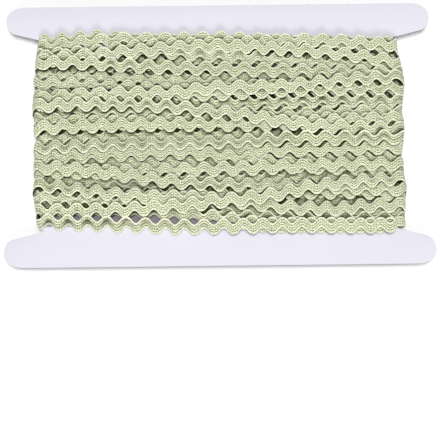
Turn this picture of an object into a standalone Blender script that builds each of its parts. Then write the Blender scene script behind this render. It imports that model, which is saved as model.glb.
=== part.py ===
"""Rickrack trim wound on a flat white card.

Two sub-parts: the die-cut card, a board with a long rounded bar at each end of a plain neck, and the winding,
one solid that wraps the neck. The winding's skin carries the turns that show, each a wavy band with a groove
before the next. Units are metres. X runs along the turns, Y across the card and Z out of its face. The origin
is at the middle of the footprint, on the surface that the winding's back lies on.
"""

import math

import bmesh
import bpy
import numpy as np

MM = 0.001

# The card
CARD_WIDTH = 210 * MM
CARD_HEIGHT = 130 * MM
CARD_THICKNESS = 1.5 * MM
NECK_WIDTH = 172 * MM
BAR_ROOT_HEIGHT = 17 * MM
BAR_CORNER_DEPTH = 6.7 * MM
OUTER_CORNER_LENGTH = 9.5 * MM
INNER_CORNER_LENGTH = 5.4 * MM
INNER_CORNER_DEPTH = 7.3 * MM
INNER_CORNER_SWEEP = math.radians(80)
NECK_FILLET = 2 * MM
CORNER_STEPS = 9
FILLET_STEPS = 5

# The trim: a flat wavy band
BAND_WIDTH = 4.9 * MM
WAVE_LENGTH = 9.5 * MM
WAVE_RISE = 1.5 * MM
BAND_THICKNESS = 1.0 * MM

# The corners of one wave: their places along it and their rise
ROUND_WAVE = ((0.15, 1), (0.35, 1), (0.65, -1), (0.85, -1))
PLAIN_WAVE = ((0.25, 1), (0.75, -1))

# The winding
CLEARANCE = 0.3 * MM
EDGE_LIFT = 1.6 * MM
FULL_LIFT = 5.0 * MM
FLAT_HALF_HEIGHT = 23 * MM
EDGE_HALF_HEIGHT = 44 * MM
SLOPE_POWER = 1.4
FRONT_CROWN = 0.7 * MM
GROOVE_WIDTH = 1.0 * MM
GROOVE_WALL = 0.2 * MM
GROOVE_FLOOR = 0.4 * MM
INNER_HALF_HEIGHT = 40 * MM

# One row for each turn that shows, from the top: its height over the card's middle at the left edge, in the
# middle and at the right edge, and the place along X of one of its crests.
TURN_COLUMNS = ("left_mm", "middle_mm", "right_mm", "crest_mm")
TURN_ROWS = (
    (41.7, 47.6, 41.6, -26.6),
    (36.6, 41.6, 36.2, 9.3),
    (31.4, 35.6, 30.4, -9.3),
    (26.2, 29.2, 24.8, -15.8),
    (20.4, 22.4, 18.6, -21.2),
    (13.0, 14.8, 11.2, 3.4),
    (4.8, 6.4, 4.8, -39.4),
    (-3.9, -2.4, -2.2, -4.9),
    (-9.8, -9.4, -8.2, -34.4),
    (-15.8, -16.2, -15.0, 2.5),
    (-23.0, -23.8, -22.0, -42.3),
    (-29.4, -31.0, -28.8, -22.1),
    (-35.8, -38.0, -35.4, -3.4),
    (-41.7, -45.0, -41.7, 2.2),
)

NECK_HALF = NECK_WIDTH / 2
REST_HEIGHT = CARD_THICKNESS / 2 + FULL_LIFT
FACE_LENGTH = NECK_WIDTH

# The way round the neck is measured by a lap number: 0 to 1 is the front face from left to right, 1 to 2 the
# right edge, 2 to 3 the back face from right to left and 3 to 4 the left edge.
# Every turn has a point at each stop, and no wave has a corner nearer than the reach to one.
LAP_END = 4.0
LAP_STOPS = (0.0, 1.0, 1.25, 1.5, 1.75, 2.0, 3.0, 3.25, 3.5, 3.75)
STOP_REACH = 0.012


def clear_scene():
    for obj in list(bpy.data.objects):
        bpy.data.objects.remove(obj)


def make_material(name, colour, roughness):
    material = bpy.data.materials.new(name)
    material.use_nodes = True
    shader = material.node_tree.nodes["Principled BSDF"]
    shader.inputs["Base Color"].default_value = (*colour, 1.0)
    shader.inputs["Roughness"].default_value = roughness
    shader.inputs["Metallic"].default_value = 0.0
    return material


def add_object(name, bm, material):
    """Turns a finished bmesh into a named object in the scene."""
    bmesh.ops.recalc_face_normals(bm, faces=bm.faces)
    mesh = bpy.data.meshes.new(name)
    bm.to_mesh(mesh)
    bm.free()
    mesh.materials.append(material)
    obj = bpy.data.objects.new(name, mesh)
    bpy.context.scene.collection.objects.link(obj)
    return obj


def ellipse_arc(centre, length, depth, start, end, steps):
    """Points on an arc of an ellipse, both ends included."""
    return [
        (centre[0] + length * math.cos(a), centre[1] + depth * math.sin(a))
        for a in np.linspace(start, end, steps)
    ]


def card_quarter():
    """The card's outline in its quarter of positive X and Y, from the top edge down to the neck."""
    half_width, half_height = CARD_WIDTH / 2, CARD_HEIGHT / 2
    tip_height = half_height - BAR_CORNER_DEPTH
    outer = ellipse_arc(
        (half_width - OUTER_CORNER_LENGTH, tip_height),
        OUTER_CORNER_LENGTH,
        BAR_CORNER_DEPTH,
        math.pi / 2,
        0,
        CORNER_STEPS,
    )
    inner = ellipse_arc(
        (half_width - INNER_CORNER_LENGTH, tip_height),
        INNER_CORNER_LENGTH,
        INNER_CORNER_DEPTH,
        0,
        -INNER_CORNER_SWEEP,
        CORNER_STEPS,
    )
    root_height = half_height - BAR_ROOT_HEIGHT
    fillet = ellipse_arc(
        (NECK_HALF + NECK_FILLET, root_height - NECK_FILLET),
        NECK_FILLET,
        NECK_FILLET,
        math.pi / 2,
        math.pi,
        FILLET_STEPS,
    )
    return outer + inner[1:] + fillet


def card_outline():
    """The whole outline: the quarter, then its mirror images, in order round the card."""
    quarter = card_quarter()
    right = quarter + [(x, -y) for x, y in reversed(quarter)]
    return right + [(-x, y) for x, y in reversed(right)]


def make_card(material):
    bm = bmesh.new()
    low = REST_HEIGHT - CARD_THICKNESS / 2
    face = bm.faces.new([bm.verts.new((x, y, low)) for x, y in card_outline()])
    grown = bmesh.ops.extrude_face_region(bm, geom=[face])
    top = [v for v in grown["geom"] if isinstance(v, bmesh.types.BMVert)]
    bmesh.ops.translate(bm, verts=top, vec=(0, 0, CARD_THICKNESS))
    bmesh.ops.triangulate(bm, faces=bm.faces)
    return add_object("card", bm, material)


def lap_point(lap, height, lift):
    """The point at this lap number and height, lifted off the card by the thickness of trim under it."""
    radius = CARD_THICKNESS / 2 + lift
    side, along = int(lap), lap - int(lap)
    if side in (0, 2):
        x = (2 * along - 1) * NECK_HALF * (1 - side)
        z = radius + FRONT_CROWN * (lift / FULL_LIFT) * (1 - (x / NECK_HALF) ** 2)
        return x, height, REST_HEIGHT + (z if side == 0 else -radius)
    angle = math.pi / 2 - math.pi * along
    outward = 2 - side
    x = outward * (NECK_HALF + radius * math.cos(angle))
    return x, height, REST_HEIGHT + outward * radius * math.sin(angle)


def lift_at(height):
    """How thick the trim lies at this height: full in the middle, thin at the two bars."""
    share = (abs(height) - FLAT_HALF_HEIGHT) / (EDGE_HALF_HEIGHT - FLAT_HALF_HEIGHT)
    share = min(max(share, 0.0), 1.0)
    return FULL_LIFT - (FULL_LIFT - EDGE_LIFT) * share**SLOPE_POWER


def lap_of_distance(distance, edge_length):
    """The lap number at a distance travelled round the neck, from the left end of the front face."""
    for side, length in enumerate((FACE_LENGTH, edge_length) * 2):
        if distance <= length:
            return side + distance / length
        distance -= length
    return 0.0


def centre_height(turn, lap):
    """The height of a turn's middle line: a flat bow on each face, level over each edge."""
    side, along = int(lap), lap - int(lap)
    if side == 1:
        return turn["right_mm"] * MM
    if side == 3:
        return turn["left_mm"] * MM
    x = (2 * along - 1) * (1 - side)
    level = (turn["right_mm"] - turn["left_mm"]) / 2 * x + (turn["right_mm"] + turn["left_mm"]) / 2
    bow = turn["middle_mm"] - (turn["right_mm"] + turn["left_mm"]) / 2
    return (level + bow * (1 - x**4)) * MM


def turn_line(turn, front_wave):
    """One turn's lap numbers and middle heights, in order: waves on both faces, a level band over each edge."""
    edge_length = math.pi * (CARD_THICKNESS / 2 + lift_at(turn["middle_mm"] * MM))
    lap_length = 2 * (FACE_LENGTH + edge_length)
    waves = round(lap_length / WAVE_LENGTH)
    first_crest = (turn["crest_mm"] * MM + NECK_HALF) / lap_length * waves
    corners = [(stop, centre_height(turn, stop)) for stop in LAP_STOPS]
    for wave in range(waves):
        for side, shape in ((0, front_wave), (2, PLAIN_WAVE)):
            for place, rise in shape:
                travelled = (wave + place - PLAIN_WAVE[0][0] + first_crest) / waves * lap_length % lap_length
                lap = lap_of_distance(travelled, edge_length)
                if side + STOP_REACH < lap < side + 1 - STOP_REACH:
                    corners.append((lap, centre_height(turn, lap) + rise * WAVE_RISE))
    laps, heights = zip(*sorted(corners))
    return np.array(laps), np.array(heights)


def kept_below(line, ceiling, gap):
    """The line, lowered where it comes nearer than the gap to the line over it."""
    laps, heights = line
    over_laps, over_heights = ceiling
    heights = np.minimum(heights, np.interp(laps, over_laps, over_heights, period=LAP_END) - gap)
    for lap, over in zip(over_laps, over_heights):
        excess = np.interp(lap, laps, heights, period=LAP_END) + gap - over
        if excess > 0:
            after = np.searchsorted(laps, lap) % len(laps)
            heights[after] -= excess
            heights[after - 1] -= excess
    return laps, heights


def add_loop(bm, line, lift):
    """A closed loop of points round the neck."""
    return [bm.verts.new(lap_point(lap, height, lift)) for lap, height in zip(*line)]


def join_loops(bm, upper, lower):
    """Fills the strip between two closed loops whose points don't match one to one, by the shorter diagonal."""
    u = l = 0
    while u < len(upper) or l < len(lower):
        here_u, next_u = upper[u % len(upper)], upper[(u + 1) % len(upper)]
        here_l, next_l = lower[l % len(lower)], lower[(l + 1) % len(lower)]
        upper_is_shorter = (next_u.co - here_l.co).length <= (next_l.co - here_u.co).length
        if l == len(lower) or (u < len(upper) and upper_is_shorter):
            u += 1
            bm.faces.new((here_u, here_l, next_u))
        else:
            l += 1
            bm.faces.new((here_u, here_l, next_l))


def shifted(line, rise):
    laps, heights = line
    return laps, heights + rise


def make_winding(material):
    turns = [dict(zip(TURN_COLUMNS, row)) for row in TURN_ROWS]
    inner_laps = np.array(LAP_STOPS)
    rim_lift = EDGE_LIFT - BAND_THICKNESS
    bm = bmesh.new()
    loops = [add_loop(bm, (inner_laps, np.full(len(inner_laps), INNER_HALF_HEIGHT)), CLEARANCE)]
    over = None
    for turn in turns:
        lift = lift_at(turn["middle_mm"] * MM)
        middle = turn_line(turn, ROUND_WAVE)
        groove = turn_line(turn, PLAIN_WAVE)
        upper = shifted(middle, BAND_WIDTH / 2)
        if over is None:
            loops.append(add_loop(bm, upper, rim_lift))
        else:
            over_lower, over_groove, over_lift = over
            upper = kept_below(upper, over_lower, GROOVE_WIDTH)
            floor_top = shifted(over_groove, -BAND_WIDTH / 2 - GROOVE_WALL)
            floor_bottom = kept_below(shifted(groove, BAND_WIDTH / 2 + GROOVE_WALL), floor_top, GROOVE_FLOOR)
            floor_lift = min(lift, over_lift) - BAND_THICKNESS
            loops.append(add_loop(bm, floor_top, floor_lift))
            loops.append(add_loop(bm, floor_bottom, floor_lift))
        loops.append(add_loop(bm, upper, lift))
        lower = shifted(middle, -BAND_WIDTH / 2)
        loops.append(add_loop(bm, lower, lift))
        over = lower, groove, lift
    loops.append(add_loop(bm, lower, rim_lift))
    loops.append(add_loop(bm, (inner_laps, np.full(len(inner_laps), -INNER_HALF_HEIGHT)), CLEARANCE))
    for upper_loop, lower_loop in zip(loops, loops[1:] + loops[:1]):
        join_loops(bm, upper_loop, lower_loop)
    return add_object("winding", bm, material)


def main():
    clear_scene()
    white_board = make_material("white_board", (0.80, 0.79, 0.86), 0.6)
    sage_trim = make_material("sage_trim", (0.56, 0.60, 0.42), 0.85)
    make_card(white_board)
    make_winding(sage_trim)


main()
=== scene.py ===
# %% [markdown]
# # A card of rickrack trim
#
# Rickrack is a narrow flat braid that is woven into a wave. This one is pale sage green, and it is wound in
# about sixty turns on a white card with a rounded bar at each end. The packed model gives the card and the
# size of the winding. This script dresses them: every turn of the braid is laid one by one, over the turns
# that were wound before it. The first step loads the packed model and measures its card.

# %% Load the frame
import math

import bpy
import numpy as np
from mathutils import Matrix, Vector


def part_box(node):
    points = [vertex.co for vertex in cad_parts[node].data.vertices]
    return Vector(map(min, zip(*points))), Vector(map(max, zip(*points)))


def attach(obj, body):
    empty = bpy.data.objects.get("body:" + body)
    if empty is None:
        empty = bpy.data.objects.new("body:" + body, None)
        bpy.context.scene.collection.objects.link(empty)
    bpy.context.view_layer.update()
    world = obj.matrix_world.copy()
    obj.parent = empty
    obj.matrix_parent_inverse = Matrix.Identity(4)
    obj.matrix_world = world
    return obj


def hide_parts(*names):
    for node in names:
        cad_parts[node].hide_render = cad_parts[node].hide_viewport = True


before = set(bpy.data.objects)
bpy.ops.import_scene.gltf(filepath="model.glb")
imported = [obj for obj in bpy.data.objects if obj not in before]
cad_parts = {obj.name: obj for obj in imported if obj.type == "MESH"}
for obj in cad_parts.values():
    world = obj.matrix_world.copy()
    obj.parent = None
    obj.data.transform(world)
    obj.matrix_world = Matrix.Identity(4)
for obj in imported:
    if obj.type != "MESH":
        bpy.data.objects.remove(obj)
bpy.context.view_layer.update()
MM = 0.001

card_low, card_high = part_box("card")
CARD_MIDDLE = (card_low.z + card_high.z) / 2
HALF_CARD = (card_high.z - card_low.z) / 2
print("the card is", [round(side / MM, 1) for side in card_high - card_low], "mm")

# %% [markdown]
# ## The camera
#
# The picture was taken from nearly straight above, a little from the side of the lower bar, which looks 3%
# wider for that reason. A long lens at 0.6 m gives that narrowing. The card fills the upper part of the
# square picture, so the camera aims below it. The lens could be shifted instead, but an aim is simpler.

# %% Camera
PICTURE_PX = 440
SENSOR = 36.0
LENS = 99.0
CAMERA_DISTANCE = 588.5 * MM
CAMERA_TILT = math.radians(7.13)
CAMERA_ROLL = math.radians(0.66)
AIM = Vector((0.1 * MM, -42.6 * MM, card_high.z))


def add_camera():
    """A camera at its distance from the aim, tilted from straight down towards the lower bar."""
    back = Vector((0, -math.sin(CAMERA_TILT), math.cos(CAMERA_TILT)))
    lens = bpy.data.cameras.new("camera")
    lens.lens = LENS
    lens.sensor_width = SENSOR
    camera = bpy.data.objects.new("camera", lens)
    bpy.context.scene.collection.objects.link(camera)
    turn = back.to_track_quat("Z", "Y").to_matrix() @ Matrix.Rotation(-CAMERA_ROLL, 3, "Z")
    camera.matrix_world = Matrix.Translation(AIM + back * CAMERA_DISTANCE) @ turn.to_4x4()
    bpy.context.scene.camera = camera
    return camera


camera = add_camera()
print("the camera is", round(camera.matrix_world.translation.z / MM), "mm up")

# %% [markdown]
# The picture's pixels are what can be measured in, so two small functions lead from a pixel to a place on the
# model and back. They are the lens's own sums: a ray through the pixel, cut by a level plane.

# %% Pixels and places


def place_of(px, py, height):
    """Where the picture's pixel lies on the level plane at this height."""
    spread = SENSOR / LENS / PICTURE_PX
    ray = Vector(((px - PICTURE_PX / 2) * spread, (PICTURE_PX / 2 - py) * spread, -1))
    ray = camera.matrix_world.to_3x3() @ ray
    start = camera.matrix_world.translation
    return start + ray * ((height - start.z) / ray.z)


def pixel_of(place):
    """The picture's pixel that shows this place."""
    seen = camera.matrix_world.inverted() @ Vector(place)
    reach = LENS / SENSOR * PICTURE_PX / -seen.z
    return PICTURE_PX / 2 + seen.x * reach, PICTURE_PX / 2 - seen.y * reach


for name, corner in (("upper bar", (0, card_high.y)), ("lower bar", (0, card_low.y))):
    print(name, "is seen at", [round(c, 1) for c in pixel_of((*corner, card_high.z))])

# %% [markdown]
# ## How a turn runs
#
# A turn goes once round the card's neck: over the front, round the right edge, back behind and round the
# left edge. All the turns are followed at the same stations on that way, so a whole turn is a table with
# one row for each station. On a face a station is a place along X. Round an edge it is an angle.

# %% Stations
NECK_HALF = 86 * MM
STATION_STEP = 0.7 * MM
EDGE_STATIONS = 26
EDGE_LIFT = 3 * MM

face_count = round(2 * NECK_HALF / STATION_STEP)
face_x = (np.arange(face_count) + 0.5) / face_count * 2 * NECK_HALF - NECK_HALF
edge_angle = (0.5 - (np.arange(EDGE_STATIONS) + 0.5) / EDGE_STATIONS) * math.pi
edge_step = math.pi * (HALF_CARD + EDGE_LIFT) / EDGE_STATIONS

# The start of each station's ray, the ray's direction along X and Z, and the way travelled to it
no_lean = np.zeros(face_count)
edge_x = np.full(EDGE_STATIONS, NECK_HALF)
ray_x = np.concatenate([face_x, edge_x, -face_x, -edge_x])
ray_across = np.concatenate([no_lean, np.cos(edge_angle), no_lean, -np.cos(edge_angle)])
ray_up = np.concatenate([no_lean + 1, np.sin(edge_angle), no_lean - 1, -np.sin(edge_angle)])
half_way = [np.full(face_count, STATION_STEP), np.full(EDGE_STATIONS, edge_step)]
steps = np.concatenate(half_way * 2)
travelled = np.cumsum(steps) - steps / 2
STATIONS = len(travelled)
FRONT = slice(0, face_count)
BACK_START = face_count + EDGE_STATIONS
print(STATIONS, "stations round the neck,", round(steps.sum() / MM), "mm")

# %% [markdown]
# ## Where each turn lies
#
# The turns on the front aren't level, and they cross each other. Each one's middle line was followed in the
# photograph, and so were some of its crests, because the waves of two neighbours seldom match. The table
# keeps a few points for each turn, in the picture's pixels, in the order in which the turns were wound. The
# camera turns them into places on the card.

# %% The turns that show
TRACE_COLUMNS = ("line", "crests")
TRACED_TURNS = (
    (((40, 195), (150, 198), (205, 203), (240, 209), (264, 210), (398, 210.5)),
     (248, 345)),
    (((40, 203), (150, 206), (205, 211), (240, 217), (264, 218.5), (398, 219)),
     (248, 345)),
    (((40, 42), (61, 40), (80, 38.5), (97, 36.5), (112, 38), (135, 41), (219, 42), (330, 43),
      (368, 44), (398, 43)),
     (44, 97, 368)),
    (((40, 48), (81, 43), (118, 40), (165, 40), (221, 38.5), (277, 41.5), (340, 46), (398, 49)),
     (81, 100, 147, 277)),
    (((40, 56), (97, 52), (135, 47), (191, 45), (250, 43), (304, 40.8), (342, 41.8), (379, 44.5),
      (398, 46)),
     (97, 191, 304, 379)),
    (((40, 58), (100, 55), (162, 52), (200, 55), (258, 58.5), (316, 62), (374, 64), (398, 65)),
     (162, 200, 277, 336, 374)),
    (((40, 62), (130, 52), (180, 48), (218, 46), (257, 48), (306, 51), (345, 55), (383, 60), (398, 63)),
     (218, 238, 306, 383)),
    (((40, 75), (64, 76), (101, 77), (157, 81), (214, 82), (254, 86), (353, 86), (398, 84)),
     (64, 157, 214, 254, 353)),
    (((40, 63.5), (92, 64), (130, 66), (167, 68), (225, 69), (265, 70), (310, 71), (355, 72), (398, 73)),
     (54, 225)),
    (((40, 83), (110, 86), (147, 88.5), (185, 91), (250, 90), (348, 90), (398, 89)),
     (53, 185, 250, 348)),
    (((40, 102), (130, 99), (219, 102), (245, 102), (303, 100), (342, 99.5), (398, 101)),
     (245, 303, 362, 399)),
    (((40, 97), (219, 94), (291, 90), (369, 88.5), (398, 88)),
     (291, 369)),
    (((40, 99.5), (80, 95.5), (118, 94.3), (176, 93.3), (214, 88), (243, 88), (281, 87), (320, 83),
      (359, 79), (398, 77.5)),
     (44, 195, 262, 395)),
    (((40, 110), (130, 110), (219, 112), (300, 114), (345, 111.5), (398, 111)),
     (326, 363)),
    (((40, 119), (74, 122), (130, 122), (219, 119), (308, 118), (398, 121)),
     (55, 74)),
    (((40, 128), (62, 126.5), (139, 124), (198, 124), (257, 124), (310, 122), (353, 120), (398, 118.5)),
     (44, 257, 353, 393)),
    (((40, 106.5), (77, 104.5), (125, 104.5), (168, 106.5), (207, 111), (245, 115), (282, 122),
      (321, 126.5), (398, 129)),
     (40, 96, 147, 226, 321)),
    (((40, 151), (130, 148.5), (219, 149), (270, 149.5), (330, 149), (398, 146)),
     (270, 330, 388)),
    (((40, 157), (72, 156), (129, 153), (188, 151.5), (209, 154), (249, 159), (308, 166), (398, 169)),
     (52, 249)),
    (((40, 147.5), (92, 145), (130, 143), (209, 142), (248, 140), (287, 138), (364, 138), (398, 137)),
     (55, 209, 384)),
    (((40, 172), (126, 171), (184, 169.5), (243, 168), (303, 166), (362, 163), (398, 164)),
     (126, 243, 362)),
    (((40, 199), (85, 201), (130, 203), (219, 196), (300, 192), (360, 191), (398, 194)),
     (85, 360, 397)),
    (((40, 185), (78, 190), (117, 195), (155, 198), (193, 198), (250, 203), (290, 208), (339, 209),
      (360, 206), (398, 205)),
     (40, 193, 251, 310, 360)),
    (((40, 167.5), (57, 168), (95, 171), (133, 176.5), (172, 181.5), (210, 184), (248, 185),
      (308, 186), (398, 189)),
     (57, 248)),
    (((40, 213), (150, 212), (219, 218), (264, 225), (382, 225.5), (398, 225)),
     (272, 370)),
    (((40, 212), (117, 210.5), (154, 208.5), (192, 205), (232, 200), (270, 196), (308, 188),
      (345, 182), (398, 178.5)),
     (58, 192, 270, 345, 399)),
    (((40, 221.5), (58, 222.5), (98, 224), (136, 225.5), (175, 227), (214, 227), (292, 225.3),
      (371, 226), (398, 224.5)),
     (49, 204, 380)),
)
print(len(TRACED_TURNS), "turns show on the front")

# %% [markdown]
# A wave of rickrack is 9.5 mm long, and it swings 1.5 mm to each side. The band is 4.8 mm wide at its
# crests. Measured along Y it is a little wider on the slopes between them, and that makes the outer edge of
# each bend round and the inner one sharp. The turns that show are at their full thickness, and those
# underneath are squeezed flatter by the turns above them.

# %% The wave of the braid
WAVE_LENGTH = 9.5 * MM
WAVE_HEIGHT = 1.5 * MM
BAND_HALF = 2.58 * MM
SLOPE_SHARE = 0.065
ROUNDER = -0.03
SHOWN_THICKNESS = 1.2 * MM
HIDDEN_THICKNESS = 0.7 * MM


def wave_of(waves):
    """The band's rise over its middle line: round crests, one at each whole wave."""
    angle = waves * 2 * math.pi
    return WAVE_HEIGHT * (np.cos(angle) + ROUNDER * np.cos(3 * angle)) / (1 + ROUNDER)


def band_half(waves):
    """Half the band's width along Y, least at the crests."""
    return BAND_HALF * (1 - SLOPE_SHARE * np.cos(4 * math.pi * waves))


print("over its waves the band is", round(2 * (WAVE_HEIGHT + band_half(0)) / MM, 1), "mm")

# %% [markdown]
# The points of the table become a smooth middle line over the front's stations. A second line counts the
# waves that have gone by, and it is whole where a crest was seen. A curve object could carry both, but two
# plain lists of numbers are easier to carry on round the card.

# %% The front of each turn
LIFT_MIDDLE = 5.2 * MM
LIFT_ENDS = 2.2 * MM
HALF_WINDING = 45 * MM
LINE_BLUR = 16
WAVE_BLUR = 10


def blurred(values, times):
    """The values, each replaced again and again by the mean of itself and its neighbours."""
    for _ in range(times):
        before, after = 2 * values[0] - values[1], 2 * values[-1] - values[-2]
        values = np.concatenate([[before], values, [after]])
        values = (values[:-2] + 2 * values[1:-1] + values[2:]) / 4
    return values


def on_winding(px, py):
    """Where the picture's pixel lies on the winding, which is lower towards both bars."""
    flat = place_of(px, py, card_high.z + LIFT_MIDDLE)
    share = min(1, abs(flat.y) / HALF_WINDING) ** 2
    return place_of(px, py, card_high.z + LIFT_MIDDLE + (LIFT_ENDS - LIFT_MIDDLE) * share)


def front_line(points):
    """The middle line's height at each station of the front, through points of the picture."""
    places = [on_winding(px, py) for px, py in points]
    line = np.interp(face_x, [p.x for p in places], [p.y for p in places])
    return blurred(line, LINE_BLUR)


def front_waves(crests, line):
    """How many waves have gone by at each station of the front, whole at the crests that were seen."""
    row = pixel_of((0, float(np.mean(line)), card_high.z + LIFT_MIDDLE))[1]
    seen = [on_winding(px, row).x for px in crests]
    between = [max(1, round(gap / WAVE_LENGTH)) for gap in np.diff(seen)]
    counts = np.concatenate([[0], np.cumsum(between)])
    before = counts[0] - (seen[0] + 2 * NECK_HALF) / WAVE_LENGTH
    after = counts[-1] + (2 * NECK_HALF - seen[-1]) / WAVE_LENGTH
    seen = [-2 * NECK_HALF, *seen, 2 * NECK_HALF]
    return blurred(np.interp(face_x, seen, [before, *counts, after]), WAVE_BLUR)


fronts = []
for row in TRACED_TURNS:
    turn = dict(zip(TRACE_COLUMNS, row))
    line = front_line(turn["line"])
    fronts.append((line, front_waves(turn["crests"], line)))
slants = [abs(line[-1] - line[0]) / MM for line, _ in fronts]
print("the turns slant by up to", round(max(slants), 1), "mm on the front")

# %% [markdown]
# A turn comes back to where it began, so that each one can be a closed ring. On its way round the back its
# middle line goes from the front's right end to its left end, with the front's own bow. Its waves are
# stretched a little there, so that a whole number of them goes round.

# %% Whole turns


def whole_turn(line, waves):
    """Carries the front's line and waves on round both edges and the back, until they meet."""
    rest = travelled[face_count:] - travelled[face_count - 1]
    rest_length = rest[-1] + STATION_STEP
    rest_waves = round(rest_length / WAVE_LENGTH + waves[-1] - waves[0]) - (waves[-1] - waves[0])
    share = np.clip((travelled[face_count:] - travelled[BACK_START]) / (2 * NECK_HALF), 0, 1)
    bow = line[face_count // 2] - (line[0] + line[-1]) / 2
    rest_line = line[-1] + (line[0] - line[-1]) * share + bow * 4 * share * (1 - share)
    return (
        np.concatenate([line, rest_line]),
        np.concatenate([waves, waves[-1] + rest / rest_length * rest_waves]),
    )


shown_turns = [whole_turn(line, waves) for line, waves in fronts]
first_waves = shown_turns[0][1]
print("the first turn has", round(float(first_waves[-1] - first_waves[0])), "waves")

# %% [markdown]
# ## The turns underneath
#
# Three even layers lie under the turns that show. They are what is seen in the gaps. The lowest one is
# close: its waves nest into those of the row before, so that it is hardly thicker than the braid. The rows
# of the other two lie further apart. The layers slant to one side and the other, so that the gaps show
# something else from place to place. All of them stop short of the lower bar, because the bare card shows
# between the last turns there.

# %% Layers underneath
LAYER_COLUMNS = ("low_mm", "high_mm", "pitch_mm", "first_wave", "row_shift", "slope_mm")
LAYERS = (
    (-35.0, 40.0, 4.85, 0.10, 0.02, 1.2),
    (-31.5, 37.5, 7.0, 0.55, 0.12, -1.4),
    (-28.0, 34.0, 7.0, 0.30, 0.09, 1.8),
)
LAYER_BOW = 0.05


def layer_turns(layer):
    """The turns of one even layer, from its low end to its high end."""
    low, high = layer["low_mm"] * MM, layer["high_mm"] * MM
    count = round((high - low) / (layer["pitch_mm"] * MM)) + 1
    across = face_x / NECK_HALF
    for number, middle in enumerate(np.linspace(low, high, count)):
        line = middle * (1 + LAYER_BOW * (1 - across**4)) + layer["slope_mm"] * MM * across / 2
        waves = face_x / WAVE_LENGTH + layer["first_wave"] + layer["row_shift"] * number
        yield whole_turn(line, waves)


hidden_turns = []
for row in LAYERS:
    hidden_turns += layer_turns(dict(zip(LAYER_COLUMNS, row)))
print(len(hidden_turns), "turns underneath,", len(hidden_turns) + len(shown_turns), "in all")

# %% [markdown]
# ## A height map of the winding
#
# The winding's surface is kept as a height map: how thick the braid already lies at each station and each
# height on the card. It starts at nothing, the bare card. Each new turn is then laid over what the map
# holds.

# %% Height map
MAP_STEP = 0.35 * MM
MAP_HALF = 56 * MM

map_y = np.arange(-MAP_HALF, MAP_HALF, MAP_STEP)
thickness_map = np.zeros((STATIONS, len(map_y)))


def read_map(values, rows):
    """What a map holds at some heights on the card, at every station."""
    places = (rows - map_y[0]) / MAP_STEP
    low = np.clip(np.floor(places).astype(int), 0, len(map_y) - 2)
    part = places - low
    station = np.arange(STATIONS)[:, None]
    return values[station, low] * (1 - part) + values[station, low + 1] * part


print("the map has", thickness_map.size, "places")

# %% [markdown]
# Round the neck's four corners the bars leave no room for a crest that reaches too far up or down. There
# the band is narrowed from its outer edge, as the real one is crowded against the bar.

# %% Rows of the band
CORNER_LIMIT = 46.7 * MM
CORNER_RAMP = 4 * MM
CORNER_ROOM = 9 * MM

distance_in = NECK_HALF - np.abs(ray_x)
ramp = np.clip(distance_in / CORNER_RAMP, 0, 1)
y_limit = CORNER_LIMIT + CORNER_ROOM * ramp * ramp * (3 - 2 * ramp)


def band_rows(line, waves, across):
    """The height on the card of each point across the band, at every station, kept inside the two bars."""
    middle = line + wave_of(waves)
    rows = middle[:, None] + across[None, :] * band_half(waves)[:, None]
    over = np.maximum(rows[:, -1] - y_limit, 0)[:, None]
    under = np.maximum(-y_limit - rows[:, 0], 0)[:, None]
    share = (across[None, :] + 1) / 2
    return rows - over * share + under * (1 - share)


print("at the corners the rows end", round(float(y_limit.min()) / MM, 1), "mm from the middle")

# %% [markdown]
# ## Laying the turns
#
# A new turn is pulled tight over the map, so it rests on the high places and bridges the low ones. That is
# worked out by a simple rule, applied again and again: each point goes to the mean of its neighbours, first
# the far ones and then the near ones, but never below what lies under it. A cloth simulation could do the
# same, but not sixty times in a few seconds. Then the turn's own top becomes the map for the next, with a
# little room for its ribs. The turns that show are held up over thin places, apart from the lowest rows,
# which come down to the card.

# %% Laying the turns
SEAT_GAP = 0.04 * MM
RIB_ROOM = 0.16 * MM
BRIDGE_LEVEL = 2.1 * MM
BRIDGE_ROWS = (-44 * MM, -38 * MM)
REACHES = (12, 8, 5, 3, 2, 1)
PULL_ROUNDS = 6
ACROSS_SHARE = 0.2
PROBES = np.linspace(-1, 1, 15)
EDGE_POWER = 5
EDGE_STOP = 0.995


def pulled_tight(support):
    """A taut band over its support: it rests on the high places and bridges the low ones."""
    level = support.copy()
    for reach in REACHES:
        for _ in range(PULL_ROUNDS):
            along = (np.roll(level, reach, axis=0) + np.roll(level, -reach, axis=0)) / 2
            sides = np.pad(level, ((0, 0), (1, 1)), mode="edge")
            across = (sides[:, :-2] + sides[:, 2:]) / 2
            level = np.maximum(support, (1 - ACROSS_SHARE) * along + ACROSS_SHARE * across)
    return level


def edge_round(across):
    """The share of the thickness at each place across the band: nearly flat, with round edges."""
    return np.sqrt(1 - np.minimum(np.abs(across), EDGE_STOP) ** EDGE_POWER)


def lay(turn, thickness, bridge=0):
    """Lays a turn on the map. Returns its way, its underside's level at the probes, and its thickness."""
    line, waves = turn
    rows = band_rows(line, waves, PROBES)
    held_up = bridge * ray_up[:, None] ** 2 * np.interp(rows, BRIDGE_ROWS, (0, 1))
    support = np.maximum(read_map(thickness_map, rows), held_up)
    level = pulled_tight(support) + SEAT_GAP
    top = level + thickness * edge_round(PROBES) + RIB_ROOM
    for number in range(STATIONS):
        under_band = (map_y >= rows[number, 0]) & (map_y <= rows[number, -1])
        new = np.interp(map_y[under_band], rows[number], top[number])
        thickness_map[number, under_band] = np.maximum(thickness_map[number, under_band], new)
    return line, waves, level, thickness


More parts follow.
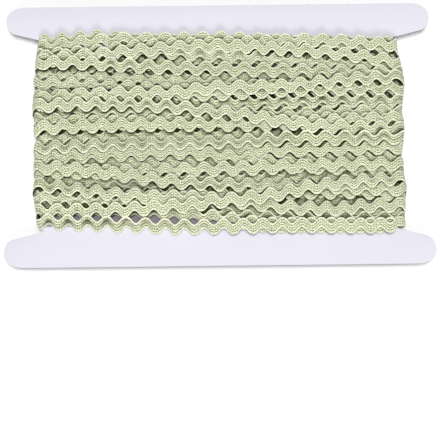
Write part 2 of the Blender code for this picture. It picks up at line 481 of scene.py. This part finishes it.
laid_hidden = [lay(turn, HIDDEN_THICKNESS) for turn in hidden_turns]
laid_shown = [lay(turn, SHOWN_THICKNESS, BRIDGE_LEVEL) for turn in shown_turns]
print("thickest on the front:", round(thickness_map[FRONT].max() / MM, 2), "mm")
middle_map = thickness_map[FRONT, np.abs(map_y) < HALF_WINDING / 2]
print("usual in the middle:", round(float(np.median(middle_map)) / MM, 2), "mm")

# %% [markdown]
# ## Pressing the turns
#
# The tables give how thick the winding may be on each side. It is thinner towards both bars. The back has
# been lying on a table, so its turns are pressed into one plane. Round the card's sides the braid is pulled
# tighter, more in some places than in others, as the picture's outline shows. The press leaves thin places
# as they are and brings the thick ones closer and closer to the limit, so it keeps the turns in their order.

# %% Pressing the turns
# Pairs of a height on the card and the most that the winding stands off the card there
FRONT_LIMITS_MM = ((-48, 3.8), (-42, 5.2), (-34, 6.6), (-28, 7.0), (24, 7.0), (32, 6.4), (40, 5.2), (48, 3.8))
BACK_LIMITS_MM = (
    (-48, 2.4), (-42, 3.4), (-36, 4.6), (-28, 5.4), (22, 5.4), (27, 4.9), (34, 3.8), (42, 2.8), (48, 2.3),
)
RIGHT_LIMITS_MM = (
    (-46, 4.0), (-38, 4.4), (-34, 5.8), (-28, 5.6), (-20, 4.0), (-13, 3.6), (-4, 4.4), (2, 5.0),
    (11, 4.2), (18, 5.0), (24, 6.0), (28, 6.0), (36, 3.6), (41, 1.4), (46, 1.0),
)
LEFT_LIMITS_MM = (
    (-46, 1.4), (-40, 2.0), (-35, 2.6), (-30, 5.0), (-14, 4.6), (-4, 4.4), (5, 5.0),
    (28, 5.6), (33, 4.0), (40, 3.2), (46, 2.4),
)
FRONT_FREE = 0.77
BACK_FREE = 0.63
SIDE_FREE = 0.55

front_share = np.maximum(ray_up, 0)[:, None] ** 2
back_share = np.maximum(-ray_up, 0)[:, None] ** 2
side_share = ray_across[:, None] ** 2
goes_right = (ray_across > 0)[:, None]


def squeezed(level, rows, limits, free):
    """The level after the press: free up to a share of the limit, then ever closer to the limit."""
    heights_mm, most_mm = zip(*limits)
    limit = np.interp(rows / MM, heights_mm, most_mm) * MM
    start = free * limit
    over = np.maximum(level - start, 0)
    return np.minimum(level, start) + (limit - start) * over / (over + limit - start)


def pressed(level, rows):
    """The level of each point after the press of the side that it lies on."""
    right = squeezed(level, rows, RIGHT_LIMITS_MM, SIDE_FREE)
    left = squeezed(level, rows, LEFT_LIMITS_MM, SIDE_FREE)
    front = squeezed(level, rows, FRONT_LIMITS_MM, FRONT_FREE)
    back = squeezed(level, rows, BACK_LIMITS_MM, BACK_FREE)
    return front * front_share + back * back_share + np.where(goes_right, right, left) * side_share


thickest = pressed(thickness_map, np.tile(map_y, (STATIONS, 1)))
print("thickest after the press:", round(float(thickest[FRONT].max()) / MM, 2), "mm on the front")

# %% [markdown]
# ## How deep each place lies
#
# The hollows between the turns look much darker than the turns, more than the light alone makes them, so they
# are given painted shade. Each place on the braid gets a number for how far it lies under the winding's
# surface around it, and the braid's finish darkens its colour by that number. The surface is the finished
# height map, smoothed. The lowest row lies open beside the bar, so its number is kept small.

# %% Hollows
HOLLOW_BLUR = 7
HOLLOW_FULL = 0.85 * MM
HOLLOW_FROM = 0.12 * MM
OPEN_ROWS = (-46 * MM, -42 * MM)
OPEN_SHARE = 0.2
BLUR_ALONG = 0.25


def smoothed(values, times):
    """The map, each place replaced again and again by a mean of itself and its four neighbours."""
    for _ in range(times):
        beside = (np.roll(values, 1, axis=0) + np.roll(values, -1, axis=0)) / 2
        values = beside * BLUR_ALONG + values * (1 - BLUR_ALONG)
        sides = np.pad(values, ((0, 0), (1, 1)), mode="edge")
        values = (sides[:, :-2] + 2 * sides[:, 1:-1] + sides[:, 2:]) / 4
    return values


surface_map = smoothed(thickness_map, HOLLOW_BLUR)


def hollow_of(rows, level):
    """How deep the points lie: 0 on the surface, 1 in the deepest hollows."""
    depth = np.clip((read_map(surface_map, rows) - level - HOLLOW_FROM) / HOLLOW_FULL, 0, 1)
    return depth * np.interp(rows, OPEN_ROWS, (OPEN_SHARE, 1))


print("the smoothed surface reaches", round(float(surface_map[FRONT].max()) / MM, 2), "mm on the front")

# %% [markdown]
# ## The braid's section
#
# A section goes round the band: over the top, where four ribs stand up, round one edge, along the underside
# and round the other edge. Each rib is a pair of cords, and the ribs that show are real, with four points
# to each. The turns underneath have a plain section, because only small parts of them are seen. No underside
# is seen, so one wide face does for it, and it sinks a little into the crests that it lies on.

# %% Sections
RIBS = 4
RIB_RISE = (0.0, 0.13 * MM, 0.09 * MM, 0.13 * MM)
RIB_REACH = 0.945
UNDER_PLACES = (0.75, -0.75)
SHOULDER = 0.98
EDGE_SHARE = 0.4
UNDER_SHARE = 0.02
PLAIN_PLACES = 5


def section(top_count, ribbed):
    """Places round the band: how far across, the share of the thickness, and the rib's rise."""
    top = np.linspace(-RIB_REACH, RIB_REACH, top_count)
    across = [*top, SHOULDER, 1.0, *UNDER_PLACES, -1.0, -SHOULDER]
    edge = [edge_round(SHOULDER), EDGE_SHARE]
    share = [*edge_round(top), *edge, *[UNDER_SHARE] * len(UNDER_PLACES), *reversed(edge)]
    rise = np.zeros(len(across))
    if ribbed:
        rise[: top_count - 1] = RIB_RISE * RIBS
    return np.array(across), np.array(share), rise


FULL_SECTION = section(len(RIB_RISE) * RIBS + 1, True)
PLAIN_SECTION = section(PLAIN_PLACES, False)
print("the sections have", len(FULL_SECTION[0]), "and", len(PLAIN_SECTION[0]), "places")

# %% [markdown]
# ## The braid as a mesh
#
# Each turn is a closed ring: the section at every station, joined to the section at the next. This mesh is
# made from arrays, because no hand tool lays a strip over a height map. A map of the surface goes with it,
# with the length along the braid and the place across it in millimetres, for the pattern of its stitches.
# Round the card's sides the turns stand off a little, because a braid doesn't bend as sharply as the
# board's edge.

# %% Points of a turn
EDGE_SLACK = 0.2 * MM
DEPTH_SHARE = 0.95

edge_slack = EDGE_SLACK * ray_across**2


def braid_points(laid, shape, stride):
    """The points of one turn, station by station, how deep they lie, and the braid's length up to each."""
    line, waves, level, thickness = laid
    across, share, rise = shape
    rows = band_rows(line, waves, across)
    under = np.stack([np.interp(across, PROBES, row) for row in level])
    level = under + thickness * share
    hollow = hollow_of(rows, under + thickness * np.maximum(share, DEPTH_SHARE))
    radius = HALF_CARD + pressed(level + rise, rows) + edge_slack[:, None]
    points = np.stack(
        [
            ray_x[:, None] + ray_across[:, None] * radius,
            rows,
            CARD_MIDDLE + ray_up[:, None] * radius,
        ],
        axis=-1,
    )[::stride]
    # A line near the middle of the top side gives the length along the braid
    middle = points[:, len(across) // 3]
    gaps = np.linalg.norm(np.roll(middle, -1, axis=0) - middle, axis=1)
    return points, hollow[::stride], np.concatenate([[0], np.cumsum(gaps)])


last_length = braid_points(laid_shown[-1], FULL_SECTION, 1)[2][-1]
print("the last turn takes", round(float(last_length) / MM), "mm of braid, along its waves")

# %% [markdown]
# The points of some turns are joined into one mesh. Its faces are squares between neighbouring points of
# two neighbouring sections, turned so that they look outwards. The turns underneath take every second
# station. The turns come in a few pieces, so that none of them grows too heavy.

# %% Pieces of braid
TURNS_A_PIECE = 7
HIDDEN_A_PIECE = 21
HIDDEN_STRIDE = 2


def braid_mesh(name, laid_turns, shape, stride):
    """Joins the rings of some turns into one mesh with its map."""
    points, faces, maps, hollows = [], [], [], []
    around = len(shape[0])
    start = 0
    for laid in laid_turns:
        places, hollow, length = braid_points(laid, shape, stride)
        count = len(places)
        ring, spot = np.meshgrid(np.arange(count), np.arange(around), indexing="ij")
        next_ring, next_spot = (ring + 1) % count, (spot + 1) % around
        corners = ((ring, spot), (next_ring, spot), (next_ring, next_spot), (ring, next_spot))
        faces.append(np.stack([start + r * around + s for r, s in corners], axis=-1).reshape(-1, 4))
        along = (length[ring], length[ring + 1], length[ring + 1], length[ring])
        sideways = [shape[0][s] * BAND_HALF for _, s in corners]
        maps.append(np.stack([np.stack([a, s], axis=-1) / MM for a, s in zip(along, sideways)], axis=-2))
        points.append(places.reshape(-1, 3))
        hollows.append(hollow.reshape(-1))
        start += count * around
    mesh = bpy.data.meshes.new(name)
    mesh.from_pydata(np.concatenate(points).tolist(), [], np.concatenate(faces).tolist())
    layer = mesh.uv_layers.new(name="braid")
    layer.data.foreach_set("uv", np.concatenate([m.reshape(-1) for m in maps]))
    depth = mesh.attributes.new("hollow", "FLOAT", "POINT")
    depth.data.foreach_set("value", np.concatenate(hollows))
    mesh.shade_smooth()
    braid = bpy.data.objects.new(name, mesh)
    bpy.context.scene.collection.objects.link(braid)
    return braid


def braid_pieces(name, laid_turns, in_each, shape, stride):
    """Pieces with a few turns in each, numbered from 1."""
    return [
        braid_mesh(f"{name}_{first // in_each + 1}", laid_turns[first : first + in_each], shape, stride)
        for first in range(0, len(laid_turns), in_each)
    ]


braids = braid_pieces("shown_turns", laid_shown, TURNS_A_PIECE, FULL_SECTION, 1)
braids += braid_pieces("turns_underneath", laid_hidden, HIDDEN_A_PIECE, PLAIN_SECTION, HIDDEN_STRIDE)
for braid in braids:
    print(braid.name, 2 * len(braid.data.polygons), "triangles")

# %% [markdown]
# ## The card
#
# The card is die-cut from coated board: two smooth white faces and a cut edge where the grey-brown core
# shows. The packed card has the right outline, so a copy of it is merged into clean faces, and its sharp
# edges get the small round that the cutting press leaves. It could be drawn again from a plane, but then
# its outline would have to be given twice.

# %% Card
EDGE_ROUND = 0.16 * MM


def make_card():
    """A copy of the packed card with clean faces and softened edges."""
    bpy.ops.object.select_all(action="DESELECT")
    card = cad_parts["card"].copy()
    card.data = card.data.copy()
    card.name = "coated_card"
    bpy.context.scene.collection.objects.link(card)
    for key in list(card.keys()):
        if key.startswith("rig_"):
            del card[key]
    card.parent = None
    bpy.context.view_layer.objects.active = card
    card.select_set(True)
    bpy.ops.object.mode_set(mode="EDIT")
    bpy.ops.mesh.select_all(action="SELECT")
    bpy.ops.mesh.remove_doubles(threshold=0.01 * MM)
    bpy.ops.mesh.dissolve_limited(angle_limit=math.radians(1))
    bpy.ops.mesh.select_all(action="DESELECT")
    bpy.ops.mesh.edges_select_sharp(sharpness=math.radians(60))
    bpy.ops.mesh.bevel(offset=EDGE_ROUND, segments=2)
    bpy.ops.object.mode_set(mode="OBJECT")
    bpy.ops.object.shade_smooth_by_angle(angle=math.radians(40))
    return card


card = make_card()
print("the card has", len(card.data.polygons), "faces")

# %% [markdown]
# ## Writing a finish
#
# A finish is a node tree, and most of its nodes are sums. The first small class wraps a node's output, so
# that the sums are written as Python expressions. Every other node comes from one method of the second
# class, node.

# %% Sums in a finish


class Wrapped:
    """A node's output, with Python's operators."""

    def __init__(self, finish, output):
        self.finish = finish
        self.output = output

    def maths(self, operation, *others):
        """A sum of this output with other outputs or numbers."""
        values = dict(enumerate([self, *others]))
        return self.finish.node("ShaderNodeMath", {"operation": operation}, values)

    def __add__(self, other):
        return self.maths("ADD", other)

    def __mul__(self, other):
        return self.maths("MULTIPLY", other)

    def __sub__(self, other):
        return self.maths("SUBTRACT", other)

    def __rsub__(self, other):
        return self.maths("MULTIPLY", -1) + other

    def __truediv__(self, other):
        return self.maths("DIVIDE", other)

    def __pow__(self, other):
        return self.maths("POWER", other)

    def clamped(self):
        """Kept from 0 to 1."""
        return self.maths("MAXIMUM", 0.0).maths("MINIMUM", 1.0)

    __radd__ = __add__
    __rmul__ = __mul__


print("besides sums, an output has", ", ".join(name for name in vars(Wrapped) if name[0] != "_"))

# %% [markdown]
# A finish starts with Blender's own Principled shader. Values or outputs are then fed to its sockets, and a
# mix of two colours has its own short method, because a sum would turn a colour grey.

# %% A finish


class Finish:
    """A material whose nodes are added one by one."""

    def __init__(self, name):
        self.material = bpy.data.materials.new(name)
        self.material.use_nodes = True
        self.nodes = self.material.node_tree.nodes
        self.links = self.material.node_tree.links
        self.shader = self.nodes["Principled BSDF"]

    def feed(self, socket, value):
        """Links an output to the socket, or sets the socket to a plain value."""
        if isinstance(value, Wrapped):
            self.links.new(value.output, socket)
        else:
            socket.default_value = value

    def node(self, kind, settings=None, sockets=None, output=0):
        """Adds a node, sets it up, feeds its sockets and wraps the output that is asked for."""
        made = self.nodes.new(kind)
        for key, value in (settings or {}).items():
            setattr(made, key, value)
        for key, value in (sockets or {}).items():
            self.feed(made.inputs[key], value)
        return Wrapped(self, made.outputs[output])

    def mix(self, share, first, second):
        """A colour between two colours."""
        # The Mix node has sockets of one name for each kind of value, so those for colours go by number
        sockets = {"Factor": share, 6: first, 7: second}
        return self.node("ShaderNodeMix", {"data_type": "RGBA"}, sockets, 2)

    def set(self, **values):
        """Feeds the shader's sockets, named with underscores for spaces."""
        for key, value in values.items():
            self.feed(self.shader.inputs[key.replace("_", " ")], value)


def paint(piece, *finishes):
    """Gives a piece its finishes, in order."""
    piece.data.materials.clear()
    for finish in finishes:
        piece.data.materials.append(finish.material)


print("a finish can", ", ".join(name for name in vars(Finish) if not name.startswith("_")))

# %% [markdown]
# ## The braid's finish
#
# Close up, the braid is a row of fine cords side by side, each made of slanting stitches that lean one way
# and then the other. Light catches the top of each stitch and the braid's edges, and the grooves between the
# cords lie in shade. Both are painted into the colour: a painted highlight on the stitch tops and along both
# edges, and painted shade in the grooves, a darker olive. The pattern follows the braid's own map, so it
# bends with every wave. How light each place is comes from one sum, and how deep it lies then darkens it with
# painted shade. A photograph of cloth could be laid on instead, but it would show its repeats. Cotton has no
# gloss, only the soft bloom of its loose fibres.

# %% Braid finish
# The two ends of the braid's colour: the yarn's own pale and deep tones, which also carry the painted
# highlight and the painted shade
PALE_YARN_AND_HIGHLIGHT = (0.955, 0.985, 0.745, 1)
DEEP_YARN_AND_SHADE = (0.12, 0.14, 0.03, 1)
# The colour of the painted shade in the deepest hollows between the turns
PAINTED_HOLLOW_SHADE = (0.035, 0.045, 0.004, 1)
HOLLOW_POWER = 0.76
RIB_PITCH_MM = 2 * BAND_HALF * RIB_REACH / RIBS / MM
STITCH_MM = 1.2
STITCH_LEAN = 0.75
STITCH_SHARE = 0.55
STITCH_DEPTH = 0.14 * MM
CORD_GROOVE = 0.25
SELVEDGE_MM = 2.22
PATCH_SCALE = 90.0
FIBRE_SCALE = 2600.0
FIBRE_SHARE = 0.25
GRAIN_ALONG = 1.4
GRAIN_ACROSS = 1.8

# How much each part of the pattern adds to the lightness, and what is taken off the sum
# The cords' pattern and the edges give painted highlight and painted shade, and the grain and patches give
# the yarn's own uneven tone
PAINTED_CORD_SHADING = 1.1
PAINTED_EDGE_HIGHLIGHT = 1.2
GRAIN_LIGHT = 2.9
PATCH_LIGHT = 0.25
TAKEN_OFF = 1.45


def braid_finish():
    """Matt cords in sage green, with slanting stitches, painted highlight on the stitch tops and both edges,
    and painted shade in the grooves and hollows.
    """
    finish = Finish("sage_braid")
    place = finish.node("ShaderNodeUVMap", {"uv_map": "braid"})
    along = finish.node("ShaderNodeSeparateXYZ", None, {"Vector": place}, "X")
    across = finish.node("ShaderNodeSeparateXYZ", None, {"Vector": place}, "Y")
    edge_shift = RIBS * RIB_PITCH_MM / 2
    rib_angle = (across + edge_shift) * (math.pi / RIB_PITCH_MM)
    rib = rib_angle.maths("SINE") ** 2
    lean = (across + edge_shift * 3).maths("PINGPONG", RIB_PITCH_MM)
    stitch_angle = (along + lean * STITCH_LEAN) * (2 * math.pi / STITCH_MM)
    stitch = stitch_angle.maths("SINE") * 0.5 + 0.5
    cord = (rib_angle * 2).maths("SINE").maths("ABSOLUTE") * CORD_GROOVE + (1 - CORD_GROOVE)
    hollow = finish.node("ShaderNodeAttribute", {"attribute_name": "hollow"}, None, "Fac")
    body = finish.node("ShaderNodeTexCoord", None, None, "Object")
    patch = finish.node("ShaderNodeTexNoise", None, {"Vector": body, "Scale": PATCH_SCALE, "Detail": 3.0})
    fibre = finish.node("ShaderNodeTexNoise", None, {"Vector": body, "Scale": FIBRE_SCALE, "Detail": 2.0})
    grain_place = finish.node(
        "ShaderNodeCombineXYZ", None, {"X": along * GRAIN_ALONG, "Y": across * GRAIN_ACROSS}
    )
    grain = finish.node(
        "ShaderNodeTexNoise",
        None,
        {"Vector": grain_place, "Scale": 1.0, "Detail": 2.0, "Roughness": 0.7},
    )
    # The cords' pattern: painted highlight on the stitch tops and painted shade in the grooves between the
    # cords
    yarn = rib * (stitch * STITCH_SHARE + (1 - STITCH_SHARE)) * cord
    # A painted highlight along both edges of the band
    edge_highlight = across.maths("ABSOLUTE").maths("GREATER_THAN", SELVEDGE_MM)
    light = yarn * PAINTED_CORD_SHADING + edge_highlight * PAINTED_EDGE_HIGHLIGHT
    light = light + grain * GRAIN_LIGHT + patch * PATCH_LIGHT - TAKEN_OFF
    colour = finish.mix(light.clamped(), DEEP_YARN_AND_SHADE, PALE_YARN_AND_HIGHLIGHT)
    # Painted shade: the deeper a place lies under the winding's surface, the closer its colour comes to the
    # dark hollow colour
    colour = finish.mix(hollow ** HOLLOW_POWER, colour, PAINTED_HOLLOW_SHADE)
    bump = finish.node(
        "ShaderNodeBump",
        None,
        {"Height": yarn + fibre * FIBRE_SHARE, "Distance": STITCH_DEPTH, "Strength": 0.9},
    )
    finish.set(Base_Color=colour, Normal=bump, Roughness=0.92, Sheen_Weight=0.25, Sheen_Roughness=0.5)
    finish.set(Specular_IOR_Level=0.2)
    return finish


braid_cloth = braid_finish()
for braid in braids:
    paint(braid, braid_cloth)
print("the braid's finish has", len(braid_cloth.nodes), "nodes")

# %% [markdown]
# ## The card's finishes
#
# The faces are white board with a cool tint and a very slight tooth. The neck lies in the winding's shade,
# deeper than the soft light of a render makes it, so it is given a darker colour between the two bars. The
# cut edge is the board's own pulp, a warm grey with darker fibres. One finish could do for both, with a
# mask, but two plain ones are easier to change.

# %% Card finishes
BOARD_WHITE = (0.70, 0.685, 0.76, 1)
BOARD_SHADE = (0.675, 0.66, 0.735, 1)
NECK_SHADE = (0.26, 0.235, 0.26, 1)
NECK_HIGH = 45.5 * MM
NECK_BLEND = 1.0 * MM
TOOTH_DEPTH = 0.02 * MM
PULP_LIGHT = (0.27, 0.23, 0.21, 1)
PULP_DARK = (0.13, 0.105, 0.095, 1)
PULP_DEPTH = 0.06 * MM
WALL_SLOPE = 0.3


def board_finish():
    """Smooth white board, darker on the neck."""
    finish = Finish("white_board")
    body = finish.node("ShaderNodeTexCoord", None, None, "Object")
    cloud = finish.node("ShaderNodeTexNoise", None, {"Vector": body, "Scale": 18.0, "Detail": 4.0})
    tooth = finish.node("ShaderNodeTexNoise", None, {"Vector": body, "Scale": 1800.0, "Detail": 3.0})
    colour = finish.mix(cloud, BOARD_WHITE, BOARD_SHADE)
    height = finish.node("ShaderNodeSeparateXYZ", None, {"Vector": body}, "Y").maths("ABSOLUTE")
    neck = (NECK_HIGH - height) / NECK_BLEND
    colour = finish.mix(neck.clamped(), colour, NECK_SHADE)
    bump = finish.node("ShaderNodeBump", None, {"Height": tooth, "Distance": TOOTH_DEPTH, "Strength": 0.5})
    finish.set(Base_Color=colour, Normal=bump, Roughness=tooth * 0.2 + 0.5, Specular_IOR_Level=0.05)
    return finish


def pulp_finish():
    """The board's core, where it was cut."""
    finish = Finish("board_core")
    body = finish.node("ShaderNodeTexCoord", None, None, "Object")
    fibre = finish.node("ShaderNodeTexNoise", None, {"Vector": body, "Scale": 1400.0, "Detail": 4.0})
    colour = finish.mix(fibre, PULP_DARK, PULP_LIGHT)
    bump = finish.node("ShaderNodeBump", None, {"Height": fibre, "Distance": PULP_DEPTH, "Strength": 0.8})
    finish.set(Base_Color=colour, Normal=bump, Roughness=0.95, Specular_IOR_Level=0.1)
    return finish


paint(card, board_finish(), pulp_finish())
walls = [face for face in card.data.polygons if abs(face.normal.z) < WALL_SLOPE]
for face in walls:
    face.material_index = 1
print(len(walls), "faces of the card show its core")

# %% [markdown]
# ## Joining the pieces to the model
#
# Every piece rides on the model's one body. The turns stand for the packed winding, and the dressed card
# for the packed card.

# %% Ride and replace
for braid in braids:
    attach(braid, "root")
    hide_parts("winding")
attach(card, "root")
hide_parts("card")
print(len(braids) + 1, "pieces ride on the model")

# %% [markdown]
# ## Floor and light
#
# The stage is a pale seamless floor. The main light is wide and hangs nearly straight above, so that it
# makes soft shade in the gaps and none beside the lower bar. A weaker one stands low on the side of the
# lower bar, and in it each crest at the top throws a short soft shadow on the upper bar. One light in between
# could do both jobs, but then all the shade would fall to one side.

# %% Stage
FLOOR_HALF = 3.0
FLOOR_PALE = (0.93, 0.93, 0.93, 1)
LIGHT_COLUMNS = ("name", "place", "size", "power")
LIGHTS = (
    ("key", (0.0, 0.3, 3.2), 1.3, 89.0),
    ("fill", (0.3, -2.2, 1.9), 1.2, 29.0),
)
SKY_STRENGTH = 0.19


def add_floor():
    """A wide pale plane that belongs to the stage."""
    bpy.ops.object.select_all(action="DESELECT")
    bpy.ops.mesh.primitive_plane_add(size=2 * FLOOR_HALF, location=(0, 0, 0))
    floor = bpy.context.object
    floor.name = "floor"
    finish = Finish("pale_floor")
    finish.set(Base_Color=FLOOR_PALE, Roughness=0.9, Specular_IOR_Level=0.1)
    paint(floor, finish)


def add_light(name, place, size, power):
    """A square soft light that looks at the origin."""
    lamp = bpy.data.lights.new(name, "AREA")
    lamp.size = size
    lamp.energy = power
    light = bpy.data.objects.new(name, lamp)
    bpy.context.scene.collection.objects.link(light)
    towards = Vector(place).to_track_quat("Z", "Y").to_matrix().to_4x4()
    light.matrix_world = Matrix.Translation(place) @ towards


add_floor()
for row in LIGHTS:
    add_light(**dict(zip(LIGHT_COLUMNS, row)))
sky = bpy.data.worlds.new("sky")
sky.use_nodes = True
sky.node_tree.nodes["Background"].inputs["Strength"].default_value = SKY_STRENGTH
sky.node_tree.nodes["Background"].inputs["Color"].default_value = (1, 1, 1, 1)
bpy.context.scene.world = sky
bpy.context.scene.view_settings.view_transform = "Standard"
print(len(LIGHTS), "lights")

# %% [markdown]
# ## The end

# %% Finish
